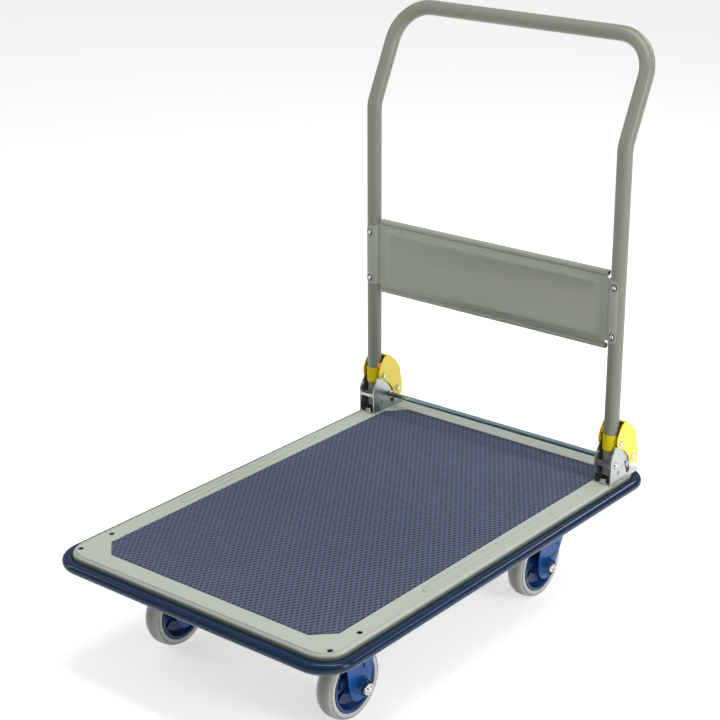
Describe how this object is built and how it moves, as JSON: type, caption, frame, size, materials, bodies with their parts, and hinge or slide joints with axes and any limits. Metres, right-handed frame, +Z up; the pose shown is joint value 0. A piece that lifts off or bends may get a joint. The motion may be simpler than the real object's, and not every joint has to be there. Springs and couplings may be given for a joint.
{
  "type": "platform trolley",
  "caption": "Platform hand truck with a ribbed non-slip deck, a rubber bumper all round, a fold-down push handle with a spring bar lock, fixed front and swivel rear casters.",
  "frame": {"origin": "on the floor, under the middle of the deck's outline", "axes": "+X to the trolley's right, +Y back towards the handle, +Z up"},
  "size_m": [0.613, 0.9232, 1.0034],
  "materials": {
    "tray_grey": "satin",
    "mat_blue": "satin",
    "bumper_navy": "gloss",
    "tube_grey": "satin",
    "zinc_plate": "satin",
    "steel_fastener": "satin",
    "fork_blue": "gloss",
    "rim_blue": "satin",
    "tyre_grey": "matte",
    "guard_yellow": "gloss",
    "collar_yellow": "satin",
    "buffer_orange": "satin",
    "bush_dark": "satin"
  },
  "bodies": {
    "deck": {"deck_tray": "tray_grey", "deck_mat": "mat_blue", "bumper_strip": "bumper_navy", "cross_rib_front": "tray_grey", "cross_rib_rear": "tray_grey", "long_rib_left": "tray_grey", "long_rib_right": "tray_grey", "bracket_bolts": "steel_fastener", "caster_bolts": "steel_fastener", "front_axle_nuts": "steel_fastener", "handle_bracket_left": "zinc_plate", "pivot_bolt_left": "steel_fastener", "lock_spring_left": "steel_fastener", "fixed_fork_left": "fork_blue", "front_axle_left": "steel_fastener", "swivel_plate_left": "fork_blue", "kingpin_left": "steel_fastener", "handle_bracket_right": "zinc_plate", "pivot_bolt_right": "steel_fastener", "lock_spring_right": "steel_fastener", "fixed_fork_right": "fork_blue", "front_axle_right": "steel_fastener", "swivel_plate_right": "fork_blue", "kingpin_right": "steel_fastener"},
    "handle": {"handle_tube": "tube_grey", "handle_panel": "tube_grey", "panel_screws": "steel_fastener", "guard_bolts": "steel_fastener", "lock_quadrant_left": "zinc_plate", "pivot_guard_left": "guard_yellow", "tube_collar_left": "collar_yellow", "stop_buffer_left": "buffer_orange", "lock_quadrant_right": "zinc_plate", "pivot_guard_right": "guard_yellow", "tube_collar_right": "collar_yellow", "stop_buffer_right": "buffer_orange"},
    "lock_bar": {"lock_bar": "zinc_plate", "lock_bar_clips": "steel_fastener"},
    "swivel_left": {"swivel_fork_left": "fork_blue", "rear_axle_left": "steel_fastener", "rear_axle_nut_left": "steel_fastener", "ball_race_left": "steel_fastener"},
    "swivel_right": {"swivel_fork_right": "fork_blue", "rear_axle_right": "steel_fastener", "rear_axle_nut_right": "steel_fastener", "ball_race_right": "steel_fastener"},
    "wheel_front_left": {"tyre_front_left": "tyre_grey", "rim_front_left": "rim_blue", "bush_front_left": "bush_dark"},
    "wheel_front_right": {"tyre_front_right": "tyre_grey", "rim_front_right": "rim_blue", "bush_front_right": "bush_dark"},
    "wheel_rear_left": {"tyre_rear_left": "tyre_grey", "rim_rear_left": "rim_blue", "bush_rear_left": "bush_dark"},
    "wheel_rear_right": {"tyre_rear_right": "tyre_grey", "rim_rear_right": "rim_blue", "bush_rear_right": "bush_dark"}
  },
  "joints": [
    {"name": "handle_fold", "type": "hinge", "parent": "deck", "child": "handle", "pos_m": [0, 0.357, 0.241], "axis": [1, 0, 0], "range_deg": [0, 90]},
    {"name": "lock_bar_press", "type": "slide", "parent": "deck", "child": "lock_bar", "axis": [0, 0.3584, -0.9336], "range_m": [0, 0.0125], "stiffness_N_per_m": 800, "springref_m": -0.01, "deforming": ["lock_spring_left", "lock_spring_right"]},
    {"name": "swivel_left", "type": "hinge", "parent": "deck", "child": "swivel_left", "pos_m": [-0.19, 0.28, 0.165], "axis": [0, 0, 1], "continuous": true},
    {"name": "wheel_spin_front_left", "type": "hinge", "parent": "deck", "child": "wheel_front_left", "pos_m": [-0.19, -0.28, 0.063], "axis": [1, 0, 0], "continuous": true},
    {"name": "wheel_spin_rear_left", "type": "hinge", "parent": "swivel_left", "child": "wheel_rear_left", "pos_m": [-0.19, 0.249, 0.063], "axis": [1, 0, 0], "continuous": true},
    {"name": "swivel_right", "type": "hinge", "parent": "deck", "child": "swivel_right", "pos_m": [0.19, 0.28, 0.165], "axis": [0, 0, 1], "continuous": true},
    {"name": "wheel_spin_front_right", "type": "hinge", "parent": "deck", "child": "wheel_front_right", "pos_m": [0.19, -0.28, 0.063], "axis": [1, 0, 0], "continuous": true},
    {"name": "wheel_spin_rear_right", "type": "hinge", "parent": "swivel_right", "child": "wheel_rear_right", "pos_m": [0.19, 0.249, 0.063], "axis": [1, 0, 0], "continuous": true}
  ]
}
